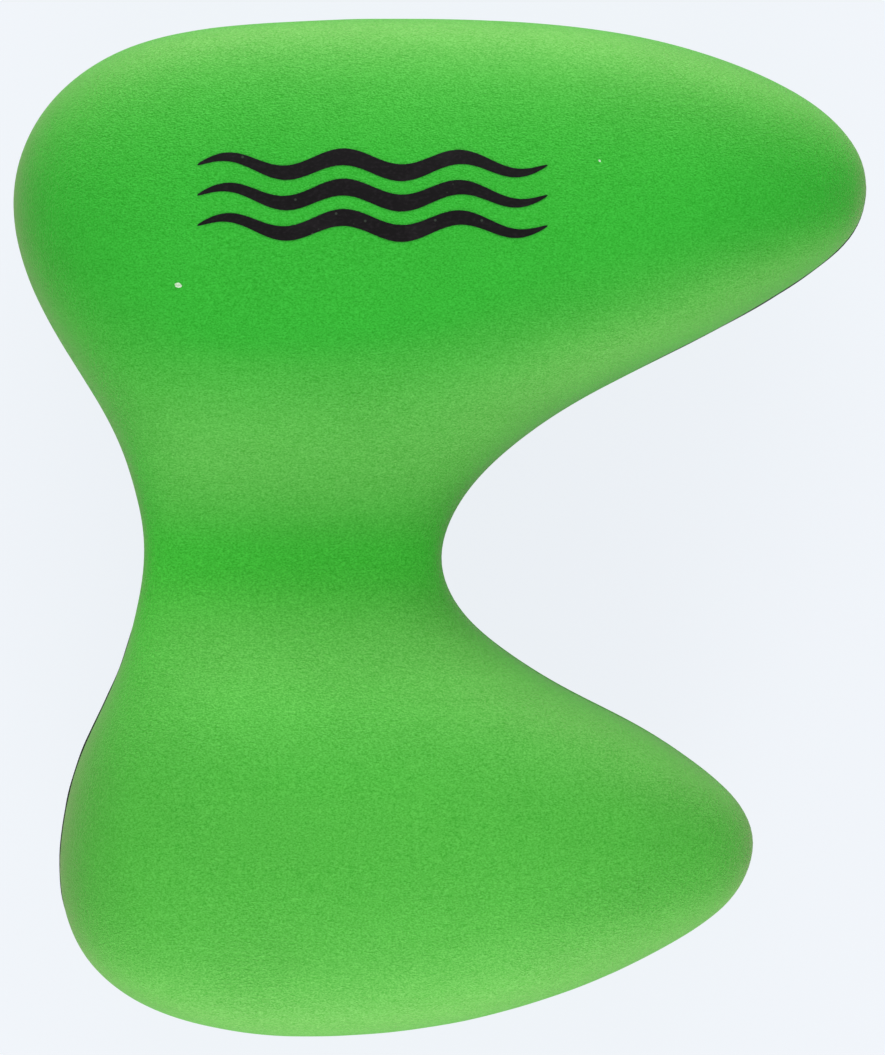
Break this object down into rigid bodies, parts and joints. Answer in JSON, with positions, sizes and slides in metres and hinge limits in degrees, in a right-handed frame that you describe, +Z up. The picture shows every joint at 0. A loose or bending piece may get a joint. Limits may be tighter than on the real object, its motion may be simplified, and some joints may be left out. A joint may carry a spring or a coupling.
{
  "type": "kickboard float",
  "caption": "Swim training float with a long and a short rounded arm joined by a narrow waist, in green foam plies over a black core.",
  "frame": {"origin": "on the resting surface, under the middle of the bounding box, with the float lying on its rear face", "axes": "+X towards the tips of the arms, +Y along the length towards the long arm, +Z up through the thickness to the printed face"},
  "size_m": [0.2424, 0.2875, 0.1102],
  "materials": {
    "green_foam": "matte closed-cell EVA foam, fine cut grain",
    "black_foam": "matte closed-cell EVA foam, fine cut grain",
    "bond_film": "dried contact adhesive, satin",
    "print_ink": "screen-printed ink, satin"
  },
  "bodies": {
    "root": {"front_foam": "green_foam", "core_foam": "black_foam", "rear_foam": "green_foam", "front_bond_film": "bond_film", "rear_bond_film": "bond_film", "front_print": "print_ink"}
  },
  "joints": []
}
